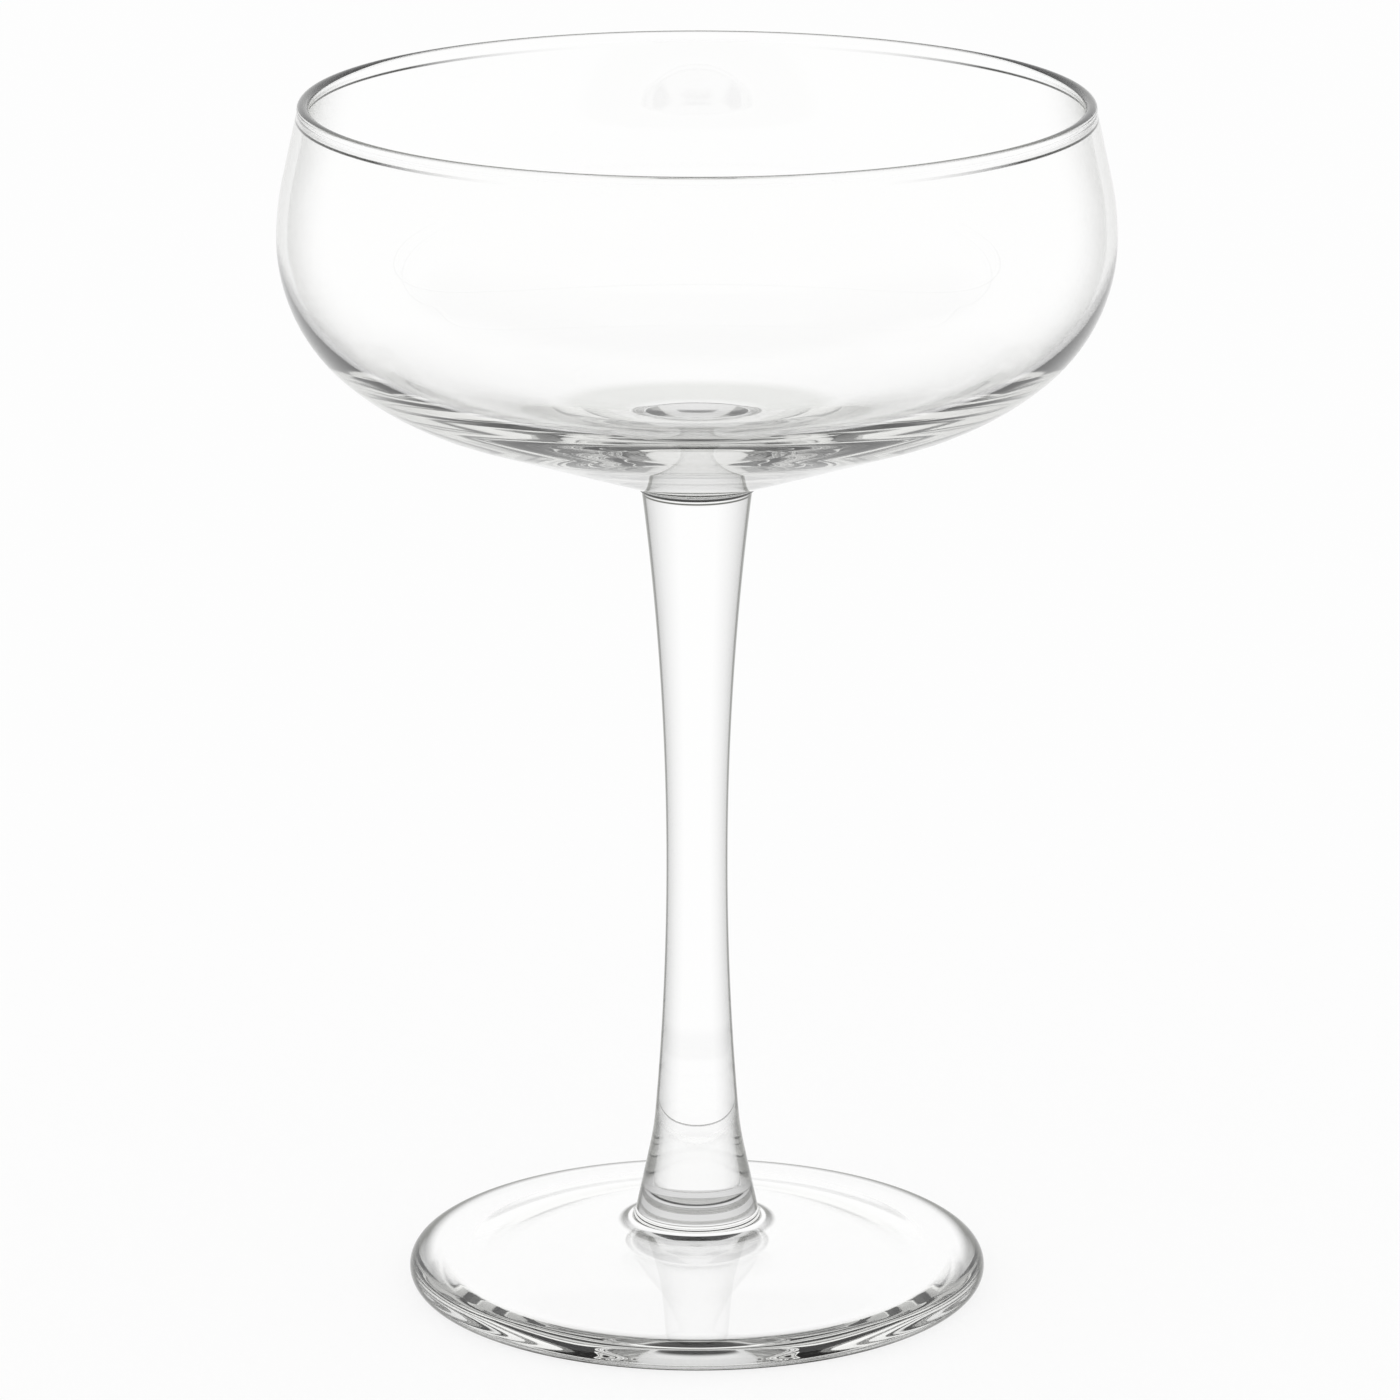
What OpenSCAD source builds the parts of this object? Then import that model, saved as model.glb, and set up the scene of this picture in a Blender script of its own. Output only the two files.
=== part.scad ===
// Stemmed coupe glass of clear glass: a blown bowl, a drawn stem and a pressed foot, fused together.
// The flat ring under the foot lies on z = 0, the axis of the glass is +Z, and lengths are in millimetres.

/* [Whole glass] */
// Height from the table to the top of the rim
glass_h = 160; // [150:0.5:170]

/* [Bowl outside] */
// Widest outer diameter of the bowl, at the belly
belly_d = 108.7; // [102:0.1:115]
// Drop from the top of the rim to the belly
belly_drop = 17.8; // [15.8:0.2:20.8]
// Radius of the side above the belly
side_r = 36; // [31:1:42]
// Inward lean of the lip, in degrees
lip_lean = 12.6; // [9:0.2:16]
// Radius of the shoulder below the belly
shoulder_r = 22.4; // [21.1:0.1:24.1]
// Turn of the shoulder before the underside begins, in degrees
shoulder_turn = 50; // [46:1:54]
// Radius of the curve between the shoulder and the cone
under_r = 36; // [32:0.5:40]
// Slope of the cone under the bowl, in degrees
under_slope = 19.2; // [17.2:0.2:21.2]

/* [Bowl wall] */
// Thickness of the wall from the lip to the shoulder
wall_t = 1.4; // [1.1:0.05:1.7]
// Height by which the round rim bead stands out on each side of the wall
bead_swell = 0.1; // [0.05:0.05:0.3]
// Radius of the inner shoulder
hollow_r = 19.2; // [18.6:0.1:19.8]
// Thickness of the glass in the middle of the bowl, above the seam
floor_t = 7.7; // [6.2:0.1:8.6]

/* [Collar] */
// Diameter of the collar under the bowl
collar_d = 15.4; // [15:0.1:18]
// Height of the collar
collar_h = 0.6; // [0.5:0.1:1.2]
// Rounding of the collar's lower edge
collar_round = 0.4; // [0.2:0.05:0.5]

/* [Stem] */
// Diameter of the stem below the collar
stem_top_d = 14.5; // [12.7:0.1:14.6]
// Smallest diameter of the stem
waist_d = 8.1; // [7:0.05:9.5]
// Height of the smallest diameter, as a share of the height of the seam under the collar
waist_share = 0.535; // [0.48:0.005:0.6]
// Height at which the stem starts to flare
flare_h = 23.4; // [21.4:0.5:25.9]
// Radius of the flare
flare_r = 40; // [32:1:60]
// Lean of the stem's cone at the foot, in degrees
flare_lean = 12; // [10:0.5:14]

/* [Foot] */
// Diameter of the foot
foot_d = 77; // [70:0.2:84]
// Thickness of the foot at its rounded edge
foot_edge_t = 4; // [3.4:0.1:4.6]
// Slope of the foot's top, in degrees
foot_slope = 8.8; // [7.2:0.2:9.6]
// Radius of the fillet where the stem meets the foot
fillet_r = 2.2; // [1.6:0.1:3]
// Width of the flat ring that the glass rests on
rest_w = 5; // [3:0.25:7]
// Height of the hollow under the foot
foot_hollow = 4; // [2.5:0.1:4.4]

/* [Hidden] */
$fn = 64;

// Chords in a long curve, a wide curve and a tight one
long_n = 14;
wide_n = 8;
tight_n = 5;

glass = [0.86, 0.9, 0.9, 0.4];

// Direction at angle a
function unit(a) = [cos(a), sin(a)];

// Points of an arc about c from angle a to angle b; first = 1 leaves out a point that is already there
function arc(c, r, a, b, n, first = 0) = [for (i = [first:n]) c + r * unit(a + (b - a) * i / n)];

// Point where two lines meet, each given by the angle of its normal and its distance from the origin
function meet(a, p, b, q) = [p * sin(b) - q * sin(a), q * cos(a) - p * cos(b)] / sin(b - a);

// Bowl: centres of the side, the shoulder and the underside's curve, in the plane of radius and height
belly_r = belly_d / 2;
belly_z = glass_h - belly_drop;
side_c = [belly_r - side_r, belly_z];
shoulder_c = [belly_r - shoulder_r, belly_z];
under_c = shoulder_c + (under_r - shoulder_r) * unit(180 - shoulder_turn);
cone_top = under_c + under_r * unit(under_slope - 90);
collar_r = collar_d / 2;
collar_z = cone_top[1] - (cone_top[0] - collar_r) * tan(under_slope);
seam_z = collar_z - collar_h;

// Rim: the bead sits on the middle of the leaning wall
bead_r = wall_t / 2 + bead_swell;
bead_turn = acos(wall_t / 2 / bead_r);
lip_mid = side_c + (side_r - wall_t / 2) * unit(lip_lean);
bead_z = glass_h - bead_r;
bead_c = [lip_mid[0] - (bead_z - lip_mid[1]) * tan(lip_lean), bead_z];

// Inside: one wide curve centred on the axis joins the inner shoulder smoothly
hollow_c = [belly_r - wall_t - hollow_r, belly_z];
floor_z = seam_z + floor_t;
floor_drop = belly_z - floor_z;
floor_r = (pow(floor_drop, 2) + pow(hollow_c[0], 2) - pow(hollow_r, 2)) / (floor_drop - hollow_r) / 2;
floor_c = [0, floor_z + floor_r];
floor_turn = atan2(floor_c[1] - belly_z, hollow_c[0]);

bowl_inside = concat(
    arc(floor_c, floor_r, -90, -floor_turn, wide_n),
    arc(hollow_c, hollow_r, -floor_turn, 0, long_n, 1),
    arc(side_c, side_r - wall_t, 0, lip_lean, tight_n, 1)
);
bowl_rim = arc(bead_c, bead_r, 180 + lip_lean + bead_turn, lip_lean - bead_turn, long_n);
bowl_outside = concat(
    arc(side_c, side_r, lip_lean, 0, tight_n),
    arc(shoulder_c, shoulder_r, 0, -shoulder_turn, wide_n, 1),
    arc(under_c, under_r, -shoulder_turn, under_slope - 90, tight_n, 1)
);
collar_edge = arc([collar_r - collar_round, seam_z + collar_round], collar_round, 0, -90, tight_n);
bowl_outline = concat(bowl_inside, bowl_rim, bowl_outside, [[collar_r, collar_z]], collar_edge, [[0, seam_z]]);

// Stem: one long hollow curve through the waist, then a tighter flare down to a cone
stem_r = stem_top_d / 2;
waist_r = waist_d / 2;
waist_h = waist_share * seam_z;
draw_r = (pow(seam_z - waist_h, 2) + pow(stem_r - waist_r, 2)) / (stem_r - waist_r) / 2;
draw_c = [waist_r + draw_r, waist_h];
top_turn = asin((seam_z - waist_h) / draw_r);
flare_turn = asin((waist_h - flare_h) / draw_r);
flare_c = draw_c + (draw_r - flare_r) * unit(180 + flare_turn);
flare_end = flare_c + flare_r * unit(180 + flare_lean);

// Foot: a half-round edge, a sloping top and the fillet that touches both the top and the stem's cone
foot_r = foot_d / 2;
edge_r = foot_edge_t / 2;
edge_c = [foot_r - edge_r, edge_r];
top_n = 90 - foot_slope;
fillet_c = meet(
    flare_lean, flare_end * unit(flare_lean) + fillet_r,
    top_n, edge_c * unit(top_n) + edge_r + fillet_r
);
hub = fillet_c + fillet_r * unit(180 + flare_lean);

stem_outline = concat(
    [[0, seam_z]],
    arc(draw_c, draw_r, 180 - top_turn, 180 + flare_turn, long_n),
    arc(flare_c, flare_r, 180 + flare_turn, 180 + flare_lean, tight_n, 1),
    [hub, [0, hub[1]]]
);

// Hollow under the foot: a dome from the flat ring up to the axis
rest_r = foot_r - edge_r - rest_w;
dome_r = (pow(rest_r, 2) + pow(foot_hollow, 2)) / foot_hollow / 2;
dome_turn = asin(rest_r / dome_r);

foot_outline = concat(
    [[0, hub[1]]],
    arc(fillet_c, fillet_r, 180 + flare_lean, 180 + top_n, tight_n),
    arc(edge_c, edge_r, top_n, -90, long_n),
    arc([0, foot_hollow - dome_r], dome_r, 90 - dome_turn, 90, wide_n)
);

// Blown bowl with its rim bead, heavy floor and collar
module bowl() {
    color(glass)
    rotate_extrude()
    polygon(bowl_outline);
}

// Drawn stem, solid, from the collar's seam down to the foot's hub
module stem() {
    color(glass)
    rotate_extrude()
    polygon(stem_outline);
}

// Pressed foot with its hub, rounded edge, resting ring and shallow hollow
module foot() {
    color(glass)
    rotate_extrude()
    polygon(foot_outline);
}

bowl();
stem();
foot();
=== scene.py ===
"""A coupe glass of clear glass, standing on a pale studio floor.

The bowl, the stem and the foot are three gathers of glass that were fused while hot. Each is turned here as
a closed body with the outline of its solid in the part's source, far finer, and it takes that solid's place.
The faces where two gathers are fused have a clear finish of their own, so that light passes from one into the
next as it does in glass that is all one piece.
"""

import logging
import math
from dataclasses import dataclass
from enum import Enum
from typing import Optional, Sequence, Union

import bmesh
import bpy
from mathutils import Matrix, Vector


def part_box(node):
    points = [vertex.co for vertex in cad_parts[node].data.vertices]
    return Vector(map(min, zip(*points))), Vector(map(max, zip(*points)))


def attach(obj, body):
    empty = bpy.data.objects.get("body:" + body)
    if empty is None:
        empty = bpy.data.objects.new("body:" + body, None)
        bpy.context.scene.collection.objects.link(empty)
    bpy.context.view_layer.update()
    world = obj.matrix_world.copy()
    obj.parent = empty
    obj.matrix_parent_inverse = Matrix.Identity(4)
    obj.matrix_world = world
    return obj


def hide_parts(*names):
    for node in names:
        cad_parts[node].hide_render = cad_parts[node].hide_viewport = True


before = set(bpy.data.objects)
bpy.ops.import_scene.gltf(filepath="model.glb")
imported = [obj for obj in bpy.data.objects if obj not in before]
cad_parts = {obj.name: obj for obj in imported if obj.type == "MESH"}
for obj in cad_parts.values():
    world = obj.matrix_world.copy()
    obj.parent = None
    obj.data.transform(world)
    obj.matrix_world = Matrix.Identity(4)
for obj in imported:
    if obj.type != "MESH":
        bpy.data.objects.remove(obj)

log = logging.getLogger("coupe")

MM = 0.001
# Width and height of the photograph, in pixels
PICTURE = 1400

Span = tuple[float, float]
Tint = tuple[float, float, float, float]

WHITE: Tint = (1.0, 1.0, 1.0, 1.0)
# Greys and blacks of painted shade, for the darker edges and rings of the glass
PALE: Tint = (0.66, 0.67, 0.64, 1.0)
FLARE_SHADE: Tint = (0.10, 0.102, 0.09, 1.0)
DEEP: Tint = (0.020, 0.021, 0.016, 1.0)
BLACK: Tint = (0.0020, 0.0021, 0.0016, 1.0)


def unit(degrees: float) -> Vector:
    """Direction at an angle in the plane of radius and height."""
    return Vector((math.cos(math.radians(degrees)), math.sin(math.radians(degrees))))


def meet(turn_a: float, far_a: float, turn_b: float, far_b: float) -> Vector:
    """Finds where two lines meet.

    Args:
        turn_a: Angle of the first line's normal, in degrees.
        far_a: Distance of the first line from the origin.
        turn_b: Angle of the second line's normal, in degrees.
        far_b: Distance of the second line from the origin.

    Returns:
        The point that lies on both lines.
    """
    a, b = unit(turn_a), unit(turn_b)
    cross = a.x * b.y - a.y * b.x
    return Vector((far_a * b.y - far_b * a.y, far_b * a.x - far_a * b.x)) / cross


# Shader maths


Level = Union[float, int, "Signal"]
Items = Optional[dict]


class Signal:
    """A socket that adds Math nodes when it stands in an expression."""

    def __init__(self, board: "Board", socket: bpy.types.NodeSocket) -> None:
        """Wraps one output socket of a board."""
        self.board = board
        self.socket = socket

    def _maths(self, operation: str, first: Level, second: Level) -> "Signal":
        """Adds one Math node that works on two levels."""
        made = self.board.node("ShaderNodeMath", {"operation": operation}, {0: first, 1: second})
        return Signal(self.board, made.outputs[0])

    def __add__(self, other: Level) -> "Signal":
        """Sum of the two."""
        return self._maths("ADD", self, other)

    def __radd__(self, other: Level) -> "Signal":
        """Sum of the two."""
        return self._maths("ADD", other, self)

    def __sub__(self, other: Level) -> "Signal":
        """This less the other."""
        return self._maths("SUBTRACT", self, other)

    def __rsub__(self, other: Level) -> "Signal":
        """The other less this."""
        return self._maths("SUBTRACT", other, self)

    def __mul__(self, other: Level) -> "Signal":
        """Product of the two."""
        return self._maths("MULTIPLY", self, other)

    def __rmul__(self, other: Level) -> "Signal":
        """Product of the two."""
        return self._maths("MULTIPLY", other, self)

    def __truediv__(self, other: Level) -> "Signal":
        """This divided by the other."""
        return self._maths("DIVIDE", self, other)

    def __rtruediv__(self, other: Level) -> "Signal":
        """The other divided by this."""
        return self._maths("DIVIDE", other, self)

    def __pow__(self, other: Level) -> "Signal":
        """This to the power of the other."""
        return self._maths("POWER", self, other)

    def at_most(self, other: Level) -> "Signal":
        """The lower of the two."""
        return self._maths("MINIMUM", self, other)

    def at_least(self, other: Level) -> "Signal":
        """The higher of the two."""
        return self._maths("MAXIMUM", self, other)


class Board:
    """The node tree of one material or of the world."""

    def __init__(self, owner: Union[bpy.types.Material, bpy.types.World]) -> None:
        """Empties the owner's node tree and works in it."""
        owner.use_nodes = True
        self.tree = owner.node_tree
        self.tree.nodes.clear()

    def node(self, kind: str, settings: Items = None, values: Items = None) -> bpy.types.Node:
        """Adds one node.

        Args:
            kind: Blender's name of the node's type.
            settings: Properties of the node, such as its operation, set first.
            values: A value, a signal or a socket for each input, by name or number.

        Returns:
            The new node.
        """
        made = self.tree.nodes.new(kind)
        for name, value in (settings or {}).items():
            setattr(made, name, value)
        for name, value in (values or {}).items():
            if isinstance(value, Signal):
                self.tree.links.new(value.socket, made.inputs[name])
            elif isinstance(value, bpy.types.NodeSocket):
                self.tree.links.new(value, made.inputs[name])
            else:
                made.inputs[name].default_value = value
        return made

    def signal(self, kind: str, output: Union[str, int], settings: Items = None,
               values: Items = None) -> Signal:
        """Adds one node and wraps the named output of it."""
        return Signal(self, self.node(kind, settings, values).outputs[output])

    def blend_tints(self, share: Level, first: Union[Tint, Signal], second: Union[Tint, Signal]) -> Signal:
        """Mixes two colours: share 0 gives the first and share 1 the second."""
        made = self.node("ShaderNodeMix", {"data_type": "RGBA"}, {0: share, 6: first, 7: second})
        return Signal(self, made.outputs[2])

    def step(self, value: Signal, low: float, high: float, at_low: float = 0.0,
             at_high: float = 1.0) -> Signal:
        """Turns a value smoothly from at_low where it is low to at_high where it is high."""
        return self.signal("ShaderNodeMapRange", 0, {"interpolation_type": "SMOOTHSTEP"},
                           {0: value, 1: low, 2: high, 3: at_low, 4: at_high})

    def parts(self, place: Signal) -> tuple[Signal, ...]:
        """Splits a place or a direction into its three parts."""
        split = self.node("ShaderNodeSeparateXYZ", {}, {0: place})
        return tuple(Signal(self, output) for output in split.outputs)

    def noise(self, where: Signal, scale: float, detail: float = 2.0) -> Signal:
        """Soft noise from 0 to 1 over a place."""
        return self.signal("ShaderNodeTexNoise", 0, {"noise_dimensions": "3D"},
                           {"Vector": where, "Scale": scale, "Detail": detail})

    def stretched(self, where: Signal, stretch: Sequence[float]) -> Signal:
        """Stretches a place along the three axes."""
        values = {0: where, 1: tuple(stretch)}
        return self.signal("ShaderNodeVectorMath", 0, {"operation": "MULTIPLY"}, values)

    def finish(self, surface: bpy.types.NodeSocket, output: str = "ShaderNodeOutputMaterial") -> None:
        """Joins a shader to the output, a material's unless another kind is named."""
        self.node(output, {}, {"Surface": surface})


class Working(Enum):
    """How a gather of glass was worked, which sets how the faint waves run in its skin."""

    BLOWN = (6.0, 6.0, 14.0)
    DRAWN = (70.0, 70.0, 5.0)
    PRESSED = (12.0, 12.0, 12.0)


class Section(Enum):
    """Where a gather is round in section like a rod: the radii between which it becomes so, in metres."""

    SHEET = (1.0, 2.0)
    ROD = (-2.0, -1.0)
    EDGE = (0.0348, 0.0366)


@dataclass(frozen=True)
class PaintedShadeRing:
    """A ring of painted shade round the glass, a darker band in its colour in place of the dark lines that
    the glass bends and mirrors from its surroundings.

    Attributes:
        height: Height of the ring's middle, in millimetres.
        half: Half the height of the ring, in millimetres.
        tint: Painted shade in the middle of the ring.
        shows: Turns of the skin away from the eye, from 0 to 1, between which the ring comes up.
        outside: Radius outside which the ring lies, in millimetres.
        fade: Share of the half height over which the ring fades at its upper and its lower end.
        brink: Width over which it fades at the radius, in millimetres.
    """

    height: float
    half: float
    tint: Tint = BLACK
    shows: Span = (-2.0, -1.0)
    outside: float = 0.0
    fade: float = 0.6
    brink: float = 0.1

    def share(self, board: Board, radius: Signal, rise: Signal, facing: Signal) -> Signal:
        """Works out how strongly the ring tints the skin.

        Args:
            board: The node tree to work in.
            radius: Distance from the axis, in metres.
            rise: Height above the table, in metres.
            facing: Turn of the skin away from the eye.

        Returns:
            A share from 0 outside the ring to 1 in its middle.
        """
        low, high = (self.height - self.half) * MM, (self.height + self.half) * MM
        soft = self.half * self.fade * MM
        ring = board.step(rise, low, low + soft) * board.step(rise, high - soft, high, 1.0, 0.0)
        shown = board.step(facing, *self.shows)
        return ring * shown * board.step(radius, (self.outside - self.brink) * MM, self.outside * MM)


@dataclass(frozen=True)
class ClearGlass:
    """Fire-polished clear glass with a breath of tint and the faint waves of its working.

    A line of sight that runs along the skin passes through far more glass and is bent far more, so the tint
    The colour darkens as the skin turns away from the eye: early and evenly where the glass is round in
    section like a rod, and only near the edge where it is a thin sheet. A little of it is the longer path
    through the glass, and the rest is painted shade in place of the dark surroundings that the edges bend and
    mirror. Rings of painted shade add more.

    Attributes:
        name: Name of the material.
        working: How the gather was worked.
        section: Where the glass is round in section.
        painted_rings: Rings of painted shade round the glass.
        clear: Tint of the glass seen straight on.
        rod_edge_shade: Painted shade at the very edge of a rod.
        sheet_edge_shade: Painted shade at the very edge of a sheet.
        rod_from: Turn of a rod's skin away from the eye at which the tint starts to deepen, from 0 to 1.
        rod_gain: How fast the tint of a rod deepens from there.
        rod_rim: Turns between which a rod's tint deepens once more.
        rod_rim_gain: How much it deepens there.
        sheet_from: Turn of a sheet's skin at which the tint starts to deepen.
        sheet_at: Turn at which a sheet's tint would be deepest, just past the edge.
        drift: Share by which the depth of the tint drifts from place to place.
        drift_scale: How closely that drift repeats.
        ior: How strongly the glass bends light.
        wave: Height of the waves in the skin, in metres.
        wave_scale: How closely the waves follow one another.
    """

    name: str
    working: Working
    section: Section
    painted_rings: tuple[PaintedShadeRing, ...] = ()
    clear: Tint = (0.998, 0.998, 0.996, 1.0)
    rod_edge_shade: Tint = DEEP
    sheet_edge_shade: Tint = (0.305, 0.308, 0.290, 1.0)
    rod_from: float = 0.13
    rod_gain: float = 1.2
    rod_rim: Span = (0.58, 0.84)
    rod_rim_gain: float = 0.7
    sheet_from: float = 0.55
    sheet_at: float = 1.05
    drift: float = 0.24
    drift_scale: float = 26.0
    ior: float = 1.5
    wave: float = 0.000002
    wave_scale: float = 6.0

    def make(self) -> bpy.types.Material:
        """Builds the material.

        Returns:
            Glass whose tint deepens along the wall and drifts a little from place to place.
        """
        made = bpy.data.materials.new(self.name)
        board = Board(made)
        place = board.signal("ShaderNodeTexCoord", "Object")
        facing = board.signal("ShaderNodeLayerWeight", "Facing", {}, {"Blend": 0.5})
        across, away, rise = board.parts(place)
        radius = (across * across + away * away) ** 0.5
        rod = board.step(radius, *self.section.value)
        # Painted shade: the colour darkens towards the edges as the skin turns away from the eye, a little
        # for the longer path through the glass and mostly in place of dark surroundings
        rod_rim = board.step(facing, *self.rod_rim, 0.0, self.rod_rim_gain)
        rod_depth = (facing - self.rod_from).at_least(0.0) * self.rod_gain + rod_rim
        sheet_depth = board.step(facing, self.sheet_from, self.sheet_at)
        uneven = 1.0 - self.drift / 2 + board.noise(place, self.drift_scale) * self.drift
        sheet_shaded = board.blend_tints((sheet_depth * uneven).at_most(1.0), self.clear, self.sheet_edge_shade)
        rod_shaded = board.blend_tints((rod_depth * uneven).at_most(1.0), self.clear, self.rod_edge_shade)
        tint = board.blend_tints(rod, sheet_shaded, rod_shaded)
        # Rings of painted shade darken the colour further at set heights
        for painted_ring in self.painted_rings:
            tint = board.blend_tints(painted_ring.share(board, radius, rise, facing), tint, painted_ring.tint)
        waves = board.noise(board.stretched(place, self.working.value), self.wave_scale, 1.0)
        skin = board.signal("ShaderNodeBump", 0, {}, {"Distance": self.wave, "Height": waves})
        glass = board.node("ShaderNodeBsdfPrincipled", {}, {
            "Base Color": tint, "Roughness": 0.0, "Normal": skin, "IOR": self.ior,
            "Transmission Weight": 1.0})
        board.finish(glass.outputs[0])
        return made


@dataclass(frozen=True)
class FusedSeam:
    """The place inside the glass where two gathers are fused: nothing of it is seen."""

    name: str = "fused seam"

    def make(self) -> bpy.types.Material:
        """Builds a material that lets all light straight through."""
        made = bpy.data.materials.new(self.name)
        board = Board(made)
        board.finish(board.node("ShaderNodeBsdfTransparent").outputs[0])
        return made


# Turning


class Outline:
    """Half the outline of a turned piece, drawn in the plane of radius and height, in millimetres."""

    # Points nearer than this are one point, and a face this near a seam's height lies in the seam
    SAME_POINT = 1e-5
    SAME_HEIGHT = 1e-3
    # Least part of a flat face's normal that points along the axis
    FLAT = 0.999

    def __init__(self, start: Sequence[float]) -> None:
        """Sets the first point.

        Args:
            start: Radius and height of the first point.
        """
        self.mesh = bmesh.new()
        self.tip = self.mesh.verts.new((start[0], 0.0, start[1]))

    def arc(self, centre: Sequence[float], turn: float, steps: int) -> "Outline":
        """Carries the tip round a centre.

        Args:
            centre: Radius and height of the centre.
            turn: Angle in degrees, from the radius towards the height.
            steps: Number of chords.

        Returns:
            The outline itself.
        """
        made = bmesh.ops.spin(self.mesh, geom=[self.tip], cent=(centre[0], 0.0, centre[1]),
                              axis=(0.0, -1.0, 0.0), angle=math.radians(turn), steps=steps)
        self.tip = next(item for item in made["geom_last"] if isinstance(item, bmesh.types.BMVert))
        return self

    def line(self, end: Sequence[float], steps: int = 1) -> "Outline":
        """Draws a straight stretch from the tip to a point, in equal steps."""
        stride = (Vector((end[0], 0.0, end[1])) - self.tip.co) / steps
        for _ in range(steps):
            made = bmesh.ops.extrude_vert_indiv(self.mesh, verts=[self.tip])
            self.tip = made["verts"][0]
            bmesh.ops.translate(self.mesh, verts=[self.tip], vec=stride)
        return self

    def turned(self, name: str, rounds: int, seams: Sequence[float]) -> bpy.types.Object:
        """Turns the outline about the axis of the glass into a closed, smooth piece.

        Args:
            name: Name of the new object.
            rounds: Number of steps in the full turn.
            seams: Heights of the flat faces where the piece is fused to its neighbours.

        Returns:
            The piece at its place, in metres.
        """
        bmesh.ops.spin(self.mesh, geom=self.mesh.verts[:] + self.mesh.edges[:], cent=(0.0, 0.0, 0.0),
                       axis=(0.0, 0.0, 1.0), angle=2.0 * math.pi, steps=rounds, use_merge=True)
        bmesh.ops.remove_doubles(self.mesh, verts=self.mesh.verts[:], dist=self.SAME_POINT)
        bmesh.ops.recalc_face_normals(self.mesh, faces=self.mesh.faces[:])
        for face in self.mesh.faces:
            flat = abs(face.normal.z) > self.FLAT
            middle = face.calc_center_median().z
            fused = flat and any(abs(middle - height) < self.SAME_HEIGHT for height in seams)
            face.material_index = 1 if fused else 0
            face.smooth = not fused
        for edge in self.mesh.edges:
            if len({face.material_index for face in edge.link_faces}) == 2:
                edge.smooth = False
        bmesh.ops.scale(self.mesh, verts=self.mesh.verts[:], vec=(MM, MM, MM))
        data = bpy.data.meshes.new(name)
        self.mesh.to_mesh(data)
        self.mesh.free()
        piece = bpy.data.objects.new(name, data)
        bpy.context.scene.collection.objects.link(piece)
        return piece


def dress(piece: bpy.types.Object, node: str, glass: bpy.types.Material, seam: bpy.types.Material) -> None:
    """Gives a piece its finishes and puts it in the place of a CAD node.

    Args:
        piece: The turned piece.
        node: Name of the CAD node that it stands for.
        glass: Finish of its skin.
        seam: Finish of the faces where it is fused to its neighbours.
    """
    piece.data.materials.append(glass)
    piece.data.materials.append(seam)
    low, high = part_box(node)
    corners = [Vector(corner) for corner in piece.bound_box]
    apart = max(abs(min(c[i] for c in corners) - low[i]) for i in range(3))
    apart = max(apart, max(abs(max(c[i] for c in corners) - high[i]) for i in range(3)))
    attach(piece, "root")
    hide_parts(node)
    faces = len(piece.data.polygons)
    log.info("%s: %d faces, %.3f mm from the box of node %s", piece.name, faces, apart / MM, node)


# The three gathers of glass, in millimetres and degrees


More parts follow.
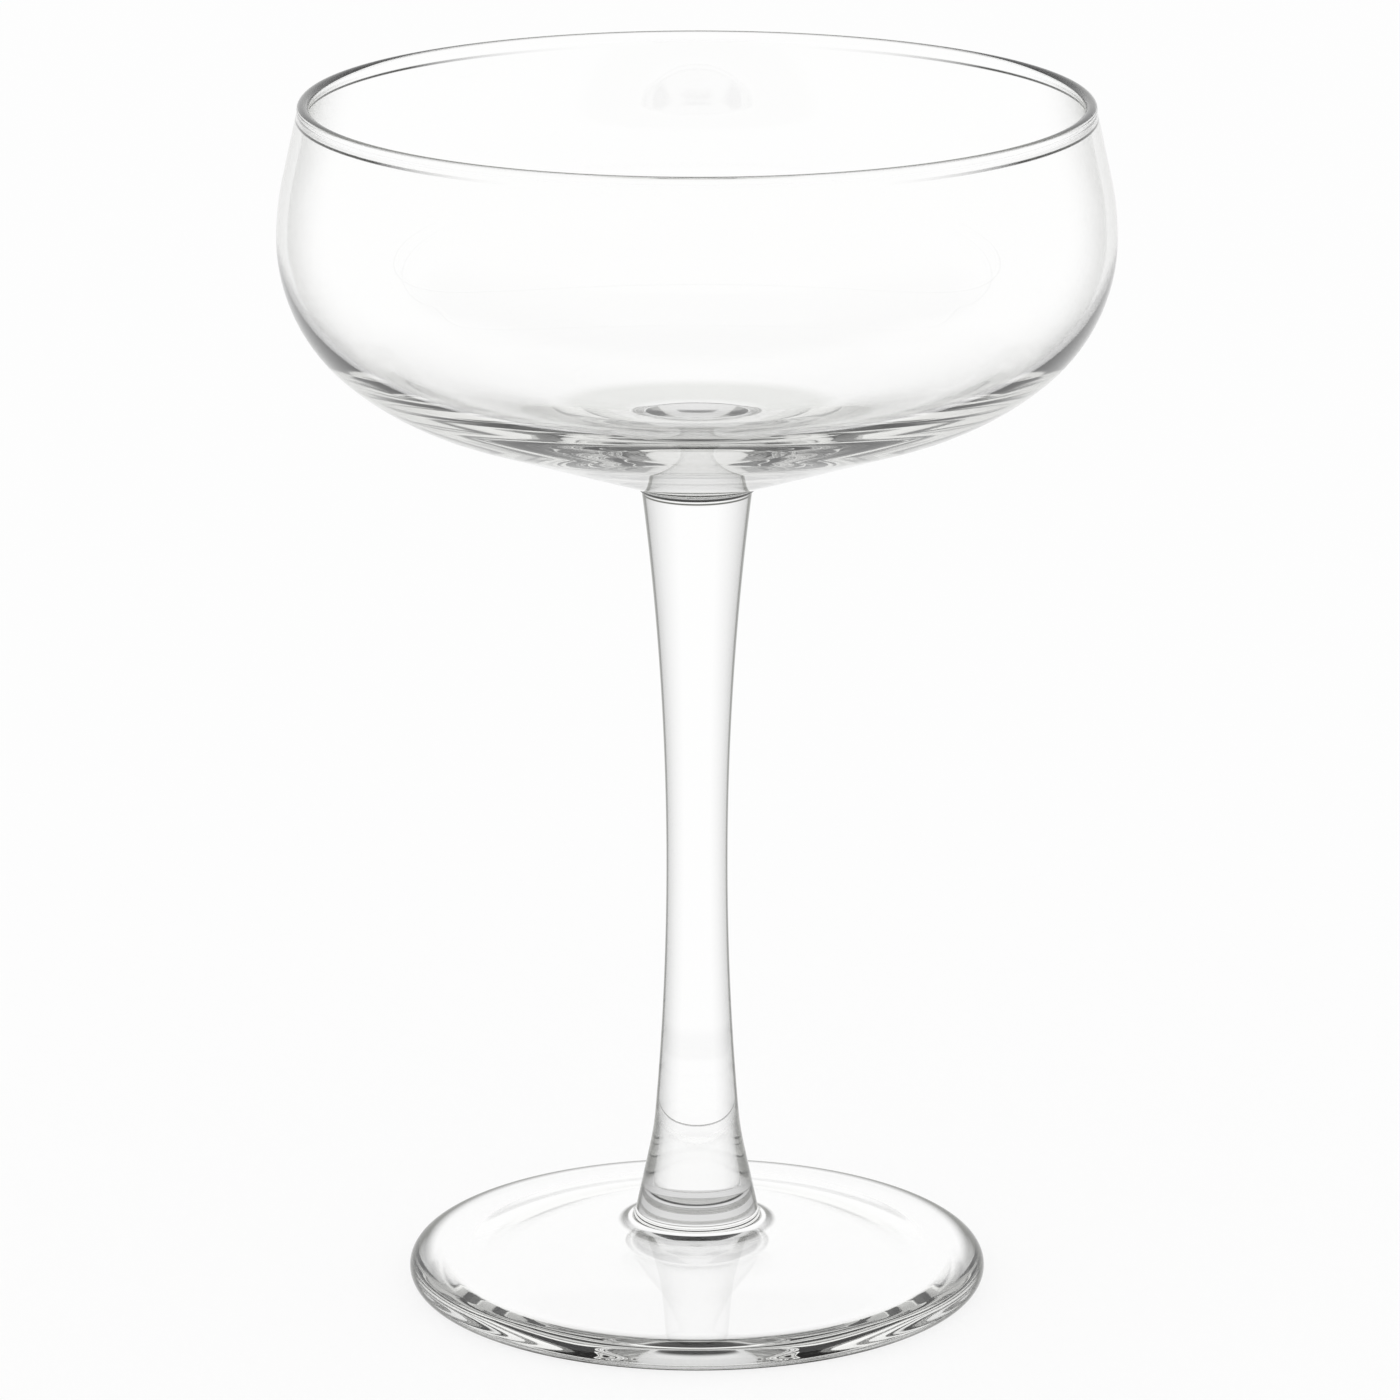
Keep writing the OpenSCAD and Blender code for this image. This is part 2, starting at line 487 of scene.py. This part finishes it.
@dataclass
class Bowl:
    """The blown bowl with its rim bead, its heavy floor and its collar.

    Attributes:
        glass_h: Height from the table to the top of the rim.
        belly_d: Widest outer diameter, at the belly.
        belly_drop: Drop from the top of the rim to the belly.
        side_r: Radius of the side above the belly.
        lip_lean: Inward lean of the lip.
        shoulder_r: Radius of the shoulder below the belly.
        shoulder_turn: Turn of the shoulder before the underside begins.
        under_r: Radius of the curve between the shoulder and the cone.
        under_slope: Slope of the cone under the bowl.
        wall_t: Thickness of the wall from the lip to the shoulder.
        bead_swell: How far the round rim bead stands out on each side of the wall.
        bead_blend: Radius of the curve by which the bead flows into the wall.
        hollow_r: Radius of the inner shoulder.
        floor_t: Thickness of the glass in the middle, above the seam.
        collar_d: Diameter of the collar.
        collar_h: Height of the collar.
        collar_round: Rounding of the collar's lower edge.
        neck_up: Height of the middle of the painted grey shade on the neck above the collar's upper edge.
        line_up: Height of the collar's painted dark shade line above the seam.
        bead_shade_down: Drop from the lowest point of the bead to the painted dark shade line under it.
        bead_shade_in: How far inside the belly's radius that painted line is still drawn.
        rounds: Number of steps round the axis.
    """

    glass_h: float = 160.0
    belly_d: float = 108.7
    belly_drop: float = 17.8
    side_r: float = 36.0
    lip_lean: float = 12.6
    shoulder_r: float = 22.4
    shoulder_turn: float = 50.0
    under_r: float = 36.0
    under_slope: float = 19.2
    wall_t: float = 1.4
    bead_swell: float = 0.1
    bead_blend: float = 1.5
    hollow_r: float = 19.2
    floor_t: float = 7.7
    collar_d: float = 15.4
    collar_h: float = 0.6
    collar_round: float = 0.4
    neck_up: float = 2.0
    line_up: float = 0.25
    bead_shade_down: float = 0.2
    bead_shade_in: float = 4.2
    rounds: int = 240

    @property
    def belly_z(self) -> float:
        """Height of the widest place."""
        return self.glass_h - self.belly_drop

    @property
    def under_c(self) -> Vector:
        """Centre of the curve between the shoulder and the cone."""
        shoulder_c = Vector((self.belly_d / 2 - self.shoulder_r, self.belly_z))
        return shoulder_c + (self.under_r - self.shoulder_r) * unit(180 - self.shoulder_turn)

    @property
    def collar_z(self) -> float:
        """Height at which the cone meets the collar."""
        cone_top = self.under_c + self.under_r * unit(self.under_slope - 90)
        return cone_top.y - (cone_top.x - self.collar_d / 2) * math.tan(math.radians(self.under_slope))

    @property
    def seam_z(self) -> float:
        """Height of the seam between the bowl and the stem."""
        return self.collar_z - self.collar_h

    def shape(self) -> bpy.types.Object:
        """Turns the bowl.

        Returns:
            The bowl as a closed piece.
        """
        belly_r, belly_z, half_wall = self.belly_d / 2, self.belly_z, self.wall_t / 2
        side_c = Vector((belly_r - self.side_r, belly_z))
        shoulder_c = Vector((belly_r - self.shoulder_r, belly_z))
        hollow_c = Vector((belly_r - self.wall_t - self.hollow_r, belly_z))
        floor_z = self.seam_z + self.floor_t
        drop = belly_z - floor_z
        floor_r = (drop ** 2 + hollow_c.x ** 2 - self.hollow_r ** 2) / (drop - self.hollow_r) / 2
        floor_turn = math.degrees(math.atan2(floor_z + floor_r - belly_z, hollow_c.x))

        across, along = unit(self.lip_lean), unit(self.lip_lean + 90)
        bead_r = half_wall + self.bead_swell
        lip_mid = side_c + (self.side_r - half_wall) * across
        bead_z = self.glass_h - bead_r
        bead_c = Vector((lip_mid.x - (bead_z - lip_mid.y) * math.tan(math.radians(self.lip_lean)), bead_z))
        blend_out = half_wall + self.bead_blend
        blend_down = math.sqrt((bead_r + self.bead_blend) ** 2 - blend_out ** 2)
        blend_turn = math.degrees(math.atan2(blend_down, blend_out))
        inner_blend = bead_c - blend_out * across - blend_down * along
        outer_blend = bead_c + blend_out * across - blend_down * along

        outline = Outline((0.0, floor_z))
        outline.arc((0.0, floor_z + floor_r), 90 - floor_turn, steps=80)
        outline.arc(hollow_c, floor_turn, steps=60)
        outline.arc(side_c, self.lip_lean, steps=14)
        outline.line(bead_c - half_wall * across - blend_down * along, steps=6)
        outline.arc(inner_blend, blend_turn, steps=5)
        outline.arc(bead_c, -180 - 2 * blend_turn, steps=26)
        outline.arc(outer_blend, blend_turn, steps=5)
        outline.line(side_c + self.side_r * across, steps=6)
        outline.arc(side_c, -self.lip_lean, steps=14)
        outline.arc(shoulder_c, -self.shoulder_turn, steps=50)
        outline.arc(self.under_c, self.shoulder_turn + self.under_slope - 90, steps=34)
        outline.line((self.collar_d / 2, self.collar_z), steps=14)
        outline.line((self.collar_d / 2, self.seam_z + self.collar_round), steps=1)
        outline.arc((self.collar_d / 2 - self.collar_round, self.seam_z + self.collar_round), -90, steps=6)
        outline.line((0.0, self.seam_z), steps=3)
        return outline.turned("bowl_glass", self.rounds, [self.seam_z])

    def painted_rings(self) -> tuple[PaintedShadeRing, ...]:
        """Rings of painted shade: grey on the neck, dark on the collar's line, under the bead and on the
        bead's crest.
        """
        bead_shade_z = self.glass_h - self.wall_t - 2 * self.bead_swell - self.bead_shade_down
        bead_shade_r = self.belly_d / 2 - self.bead_shade_in
        # Painted shade: a grey band on the neck and dark lines at the collar, under the bead and on the
        # bead's crest
        return (
            PaintedShadeRing(self.collar_z + self.neck_up, half=2.4, tint=PALE),
            PaintedShadeRing(self.seam_z + self.line_up, half=0.32),
            PaintedShadeRing(bead_shade_z, half=0.25, shows=(0.1, 0.4), outside=bead_shade_r),
            PaintedShadeRing(self.glass_h, half=0.3, tint=DEEP, shows=(0.2, 0.65)),
        )

    def build(self, seam: bpy.types.Material) -> bpy.types.Object:
        """Turns and dresses the bowl.

        Args:
            seam: Finish of the fused face.

        Returns:
            The finished piece.
        """
        piece = self.shape()
        glass = ClearGlass("blown clear glass", Working.BLOWN, Section.SHEET, self.painted_rings())
        dress(piece, "bowl", glass.make(), seam)
        return piece


@dataclass
class Stem:
    """The drawn stem, solid, with its waist and the flare towards the foot.

    Attributes:
        seam_z: Height of the seam between the bowl and the stem.
        stem_top_d: Diameter below the collar.
        waist_d: Smallest diameter.
        waist_share: Height of the smallest diameter, as a share of the seam's height.
        flare_h: Height at which the stem starts to flare.
        flare_r: Radius of the flare.
        flare_lean: Lean of the stem's cone at the foot.
        line_down: Drop from the upper seam to the painted dark shade line under it.
        flare_shade_up: Height of the middle of the painted shade on the flare's edges above the foot's hub.
        rounds: Number of steps round the axis.
    """

    seam_z: float
    stem_top_d: float = 14.5
    waist_d: float = 8.1
    waist_share: float = 0.535
    flare_h: float = 23.4
    flare_r: float = 40.0
    flare_lean: float = 12.0
    line_down: float = 0.35
    flare_shade_up: float = 9.0
    rounds: int = 160

    @property
    def waist_z(self) -> float:
        """Height of the smallest diameter."""
        return self.seam_z * self.waist_share

    @property
    def draw_r(self) -> float:
        """Radius of the long hollow curve through the waist."""
        narrowing = (self.stem_top_d - self.waist_d) / 2
        return ((self.seam_z - self.waist_z) ** 2 + narrowing ** 2) / narrowing / 2

    @property
    def draw_c(self) -> Vector:
        """Centre of the long hollow curve."""
        return Vector((self.waist_d / 2 + self.draw_r, self.waist_z))

    @property
    def flare_turn(self) -> float:
        """Lean of the stem where the flare starts."""
        return math.degrees(math.asin((self.waist_z - self.flare_h) / self.draw_r))

    @property
    def flare_c(self) -> Vector:
        """Centre of the flare."""
        return self.draw_c + (self.draw_r - self.flare_r) * unit(180 + self.flare_turn)

    @property
    def flare_end(self) -> Vector:
        """Point where the flare becomes a cone."""
        return self.flare_c + self.flare_r * unit(180 + self.flare_lean)

    def shape(self, hub: Vector) -> bpy.types.Object:
        """Turns the stem.

        Args:
            hub: Radius and height of the rim of the foot's hub, where the stem ends.

        Returns:
            The stem as a closed piece.
        """
        top_turn = math.degrees(math.asin((self.seam_z - self.waist_z) / self.draw_r))
        outline = Outline((0.0, self.seam_z))
        outline.line((self.stem_top_d / 2, self.seam_z), steps=3)
        outline.arc(self.draw_c, top_turn + self.flare_turn, steps=96)
        outline.arc(self.flare_c, self.flare_lean - self.flare_turn, steps=12)
        outline.line(hub, steps=8)
        outline.line((0.0, hub.y), steps=3)
        return outline.turned("stem_glass", self.rounds, [self.seam_z, hub.y])

    def build(self, hub: Vector, seam: bpy.types.Material) -> bpy.types.Object:
        """Turns and dresses the stem.

        Args:
            hub: Radius and height of the rim of the foot's hub.
            seam: Finish of the fused faces.

        Returns:
            The finished piece.
        """
        piece = self.shape(hub)
        # Painted shade: grey on the edges of the flare and a dark line under the upper seam
        flare = PaintedShadeRing(hub.y + self.flare_shade_up, half=7.5, tint=FLARE_SHADE, shows=(0.25, 0.7))
        line = PaintedShadeRing(self.seam_z - self.line_down, half=0.18, tint=DEEP)
        glass = ClearGlass("drawn clear glass", Working.DRAWN, Section.ROD, (flare, line))
        dress(piece, "stem", glass.make(), seam)
        return piece


@dataclass
class Foot:
    """The pressed foot with its hub, its half-round edge, its resting ring and the hollow inside that ring.

    Attributes:
        stem: The stem that the foot is fused to.
        foot_d: Diameter of the foot.
        foot_edge_t: Thickness at its rounded edge.
        foot_slope: Slope of its top.
        fillet_r: Radius of the fillet where the stem meets the foot.
        rest_w: Width of the flat ring that the glass rests on.
        rest_round: Radius by which the ring's inner edge flows into the hollow.
        foot_hollow: Height of the hollow under the foot.
        root_up: Height of the painted dark shade line above the lower end of the fillet.
        rounds: Number of steps round the axis.
    """

    stem: Stem
    foot_d: float = 77.0
    foot_edge_t: float = 4.0
    foot_slope: float = 8.8
    fillet_r: float = 2.2
    rest_w: float = 5.0
    rest_round: float = 14.0
    foot_hollow: float = 4.0
    root_up: float = 0.1
    rounds: int = 240

    @property
    def edge_c(self) -> Vector:
        """Centre of the half-round edge."""
        return Vector((self.foot_d / 2 - self.foot_edge_t / 2, self.foot_edge_t / 2))

    @property
    def fillet_c(self) -> Vector:
        """Centre of the fillet between the stem's cone and the foot's top."""
        lean, top = self.stem.flare_lean, 90 - self.foot_slope
        return meet(lean, self.stem.flare_end.dot(unit(lean)) + self.fillet_r,
                    top, self.edge_c.dot(unit(top)) + self.foot_edge_t / 2 + self.fillet_r)

    @property
    def hub(self) -> Vector:
        """Rim of the hub, where the fillet takes over from the stem's cone."""
        return self.fillet_c + self.fillet_r * unit(180 + self.stem.flare_lean)

    def shape(self) -> bpy.types.Object:
        """Turns the foot.

        Returns:
            The foot as a closed piece.
        """
        lean, top, edge_r = self.stem.flare_lean, 90 - self.foot_slope, self.foot_edge_t / 2
        rest_r = self.foot_d / 2 - edge_r - self.rest_w
        dome_r = (rest_r ** 2 + self.foot_hollow ** 2) / self.foot_hollow / 2
        reach = dome_r + self.rest_round
        soft_r = math.sqrt(reach ** 2 - (reach - self.foot_hollow) ** 2)
        dome_turn = math.degrees(math.asin(soft_r / reach))
        outline = Outline((0.0, self.hub.y))
        outline.line(self.hub, steps=3)
        outline.arc(self.fillet_c, top - lean, steps=24)
        outline.line(self.edge_c + edge_r * unit(top), steps=14)
        outline.arc(self.edge_c, -90 - top, steps=40)
        outline.line((soft_r, 0.0), steps=3)
        outline.arc((soft_r, self.rest_round), -dome_turn, steps=12)
        outline.arc((0.0, self.foot_hollow - dome_r), dome_turn, steps=60)
        return outline.turned("foot_glass", self.rounds, [self.hub.y])

    def build(self, seam: bpy.types.Material) -> bpy.types.Object:
        """Turns and dresses the foot.

        Args:
            seam: Finish of the fused face.

        Returns:
            The finished piece.
        """
        piece = self.shape()
        fillet_end = self.fillet_c - self.fillet_r * unit(90 - self.foot_slope)
        # Painted shade: a dark line at the lower end of the fillet
        root = PaintedShadeRing(fillet_end.y + self.root_up, half=0.22, tint=DEEP, shows=(0.4, 0.75))
        glass = ClearGlass("pressed clear glass", Working.PRESSED, Section.EDGE, (root,), sheet_from=0.9)
        dress(piece, "foot", glass.make(), seam)
        return piece


# The studio


@dataclass
class Studio:
    """A pale floor, soft light from all round and the camera.

    Attributes:
        distance: Distance of the camera from the axis of the glass, level, in millimetres.
        height: Height of the camera above the floor, in millimetres.
        pitch: How far the camera looks down, in degrees.
        focal: Focal length, in pixels of the photograph.
        axis_px: Place of the axis of the glass across the photograph, in pixels.
        sensor: Width of the camera's sensor, in millimetres.
        bounces: Number of times that a path of light may turn.
        floor_r: Radius of the floor, in millimetres.
        air: Air between the foot and the floor, in millimetres.
        floor_tint: Colour of the floor.
        floor_glow: Share of the floor that is evenly lit, seen straight and seen through the glass.
        aged: Colour of light that has gone to and fro inside the glass many times.
        aged_turns: Reflections between which light takes on that colour.
        seam_loss: Share of the light that is lost where a path crosses the thick glass at a seam.
        floor_loss: Reflections after which the floor's light dims, and the share that is lost in the end.
        room_loss: The same for the room's light.
        shadow_in: Radii between which the painted shadow on the floor before the foot begins, in metres.
        shadow_out: Radii between which it ends, in metres.
        shadow_away: Places along the line of sight between which it fades towards the back, in metres.
        shadow_depth: Share of the light that the painted shadow takes away.
        gap_low: Rises of a direction, from 0 when level to 1 straight up, between which the dark gap begins.
        gap_high: Rises between which it ends.
        gap_away: Turns of a direction away from the camera, from -1 to 1, between which the gap deepens.
        gap_depth: Share of the light that the gap lacks on the near and on the far side.
        trapped_from: Reflections after which light counts as trapped in the glass.
        trapped_most: Number of further reflections that count.
        trapped_drop: How much lower the gap begins for each of them.
        closed_from: Reflections after which the gap closes in from the near side too.
        closed_gain: Share that it deepens there for each further reflection.
        closed_most: Share of the light that it lacks there in the end.
        mirror_loss: Share of the gap that is missing from a single mirror image on the thin wall.
    """

    distance: float = 951.9
    height: float = 338.8
    pitch: float = 15.21
    focal: float = 7503.2
    axis_px: float = 697.0
    sensor: float = 36.0
    bounces: int = 24
    floor_r: float = 6000.0
    air: float = 0.05
    floor_tint: Tint = (0.93, 0.93, 0.93, 1.0)
    floor_glow: Span = (0.8, 0.93)
    aged: Tint = (0.998, 1.0, 0.972, 1.0)
    aged_turns: Span = (1.0, 8.0)
    seam_loss: float = 0.14
    floor_loss: Span = (6.0, 0.5)
    room_loss: Span = (8.0, 0.15)
    shadow_in: Span = (0.035, 0.037)
    shadow_out: Span = (0.047, 0.054)
    shadow_away: Span = (-0.036, -0.024)
    shadow_depth: float = 0.95
    gap_low: Span = (0.58, 0.68)
    gap_high: Span = (0.91, 0.95)
    gap_away: Span = (-0.05, 0.3)
    gap_depth: Span = (0.1, 0.98)
    trapped_from: float = 3.0
    trapped_most: float = 3.0
    trapped_drop: float = 0.13
    closed_from: float = 7.0
    closed_gain: float = 0.3
    closed_most: float = 0.9
    mirror_loss: float = 0.75

    def camera(self) -> None:
        """Sets the camera up at the photograph's place."""
        data = bpy.data.cameras.new("camera")
        data.sensor_width = self.sensor
        data.lens = self.sensor * self.focal / PICTURE
        data.shift_x = 0.5 - self.axis_px / PICTURE
        data.clip_start, data.clip_end = 0.01, 100.0
        eye = bpy.data.objects.new("camera", data)
        eye.location = (0.0, -self.distance * MM, self.height * MM)
        eye.rotation_euler = (math.radians(90 - self.pitch), 0.0, 0.0)
        bpy.context.scene.collection.objects.link(eye)
        bpy.context.scene.camera = eye

    def left(self, board: Board, paths: bpy.types.Node, turns: float, dimming: float) -> Signal:
        """Share of the light that is left after a path has gone to and fro inside the glass.

        Args:
            board: The node tree to work in.
            paths: Its Light Path node.
            turns: Number of reflections after which light starts to be lost.
            dimming: Share that is lost in the end.

        Returns:
            A share from 1 down to what is left in the end.
        """
        trapped = (Signal(board, paths.outputs["Glossy Depth"]) - turns).at_least(0.0)
        seams = Signal(board, paths.outputs["Transparent Depth"]).at_most(2.0)
        return (1.0 - trapped / (trapped + 1.0) * dimming) * (1.0 - seams * self.seam_loss)

    def tinge(self, board: Board, paths: bpy.types.Node) -> Signal:
        """Colour of the light: faintly olive after many turns inside the glass."""
        turns = Signal(board, paths.outputs["Glossy Depth"])
        return board.blend_tints(board.step(turns, *self.aged_turns), WHITE, self.aged)

    def floor(self) -> None:
        """Lays a pale round floor that keeps the shadow of the glass."""
        plate = bmesh.new()
        bmesh.ops.create_circle(plate, cap_ends=True, segments=96, radius=self.floor_r * MM)
        bmesh.ops.translate(plate, verts=plate.verts[:], vec=(0.0, 0.0, -self.air * MM))
        data = bpy.data.meshes.new("floor")
        plate.to_mesh(data)
        plate.free()
        made = bpy.data.objects.new("floor", data)
        bpy.context.scene.collection.objects.link(made)
        paint = bpy.data.materials.new("pale floor")
        board = Board(paint)
        paths = board.node("ShaderNodeLightPath")
        direct = Signal(board, paths.outputs["Is Camera Ray"])
        through = Signal(board, paths.outputs["Is Transmission Ray"])
        mirrored = Signal(board, paths.outputs["Glossy Depth"]).at_most(1.0)
        share = (direct * self.floor_glow[0]).at_least(through * self.floor_glow[1]).at_least(mirrored)
        across, away, _ = board.parts(board.signal("ShaderNodeTexCoord", "Object"))
        radius = (across * across + away * away) ** 0.5
        # Painted shadow: a dark patch on the floor just in front of the foot, seen only by way of the glass,
        # which the edge of the foot mirrors
        painted_shadow = board.step(radius, *self.shadow_in) * board.step(radius, *self.shadow_out, 1.0, 0.0)
        shade = painted_shadow * board.step(away, *self.shadow_away, self.shadow_depth, 0.0) * (1.0 - direct)
        matt = board.node("ShaderNodeBsdfDiffuse", {}, {"Color": self.floor_tint})
        strength = (1.0 - shade) * self.left(board, paths, *self.floor_loss)
        glow = board.node("ShaderNodeEmission", {}, {"Color": self.tinge(board, paths), "Strength": strength})
        mixed = board.node("ShaderNodeMixShader", {}, {0: share, 1: matt.outputs[0], 2: glow.outputs[0]})
        board.finish(mixed.outputs[0])
        data.materials.append(paint)

    def light(self) -> None:
        """Fills the room with soft white light and a dark gap that is seen only by way of the glass."""
        world = bpy.data.worlds.new("studio")
        bpy.context.scene.world = world
        board = Board(world)
        paths = board.node("ShaderNodeLightPath")
        _, away, rise = board.parts(board.signal("ShaderNodeTexCoord", "Generated"))
        turns = Signal(board, paths.outputs["Glossy Depth"])
        trapped = (turns - self.trapped_from).at_least(0.0).at_most(self.trapped_most)
        reach = board.step(rise + trapped * self.trapped_drop, *self.gap_low)
        gap = reach * board.step(rise, *self.gap_high, 1.0, 0.0)
        closed = ((turns - self.closed_from) * self.closed_gain).at_most(self.closed_most)
        depth = board.step(away, *self.gap_away, *self.gap_depth).at_least(closed)
        # A thin wall that light meets first, before any seam, mirrors little of the gap
        once = turns.at_most(1.0) * (2.0 - turns).at_least(0.0)
        seams = Signal(board, paths.outputs["Transparent Depth"]).at_most(1.0)
        mirrored = 1.0 - once * (1.0 - seams) * self.mirror_loss
        seen = Signal(board, paths.outputs["Is Camera Ray"])
        lighting = Signal(board, paths.outputs["Diffuse Depth"])
        bent = (1.0 - gap * depth * mirrored) * self.left(board, paths, *self.room_loss)
        strength = (seen + lighting).at_most(1.0).at_least(bent)
        colour = self.tinge(board, paths)
        sky = board.node("ShaderNodeBackground", {}, {"Color": colour, "Strength": strength})
        board.finish(sky.outputs[0], "ShaderNodeOutputWorld")

    def build(self) -> None:
        """Sets up the camera, the floor, the light and the plain view settings."""
        scene = bpy.context.scene
        scene.view_settings.view_transform = "Standard"
        scene.cycles.max_bounces = self.bounces
        scene.cycles.glossy_bounces = self.bounces
        scene.cycles.transmission_bounces = self.bounces
        scene.cycles.transparent_max_bounces = self.bounces
        self.camera()
        self.floor()
        self.light()
        log.info("studio: floor, light and camera, %.2f m from the camera to the glass", self.distance * MM)


def main() -> None:
    """Builds the glass and the studio and writes how large the model is."""
    logging.basicConfig(level=logging.INFO, format="%(message)s")
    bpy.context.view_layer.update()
    seam = FusedSeam().make()
    bowl = Bowl()
    stem = Stem(seam_z=bowl.seam_z)
    foot = Foot(stem=stem)
    bowl.build(seam)
    stem.build(foot.hub, seam)
    foot.build(seam)
    Studio().build()


if __name__ == "__main__":
    main()
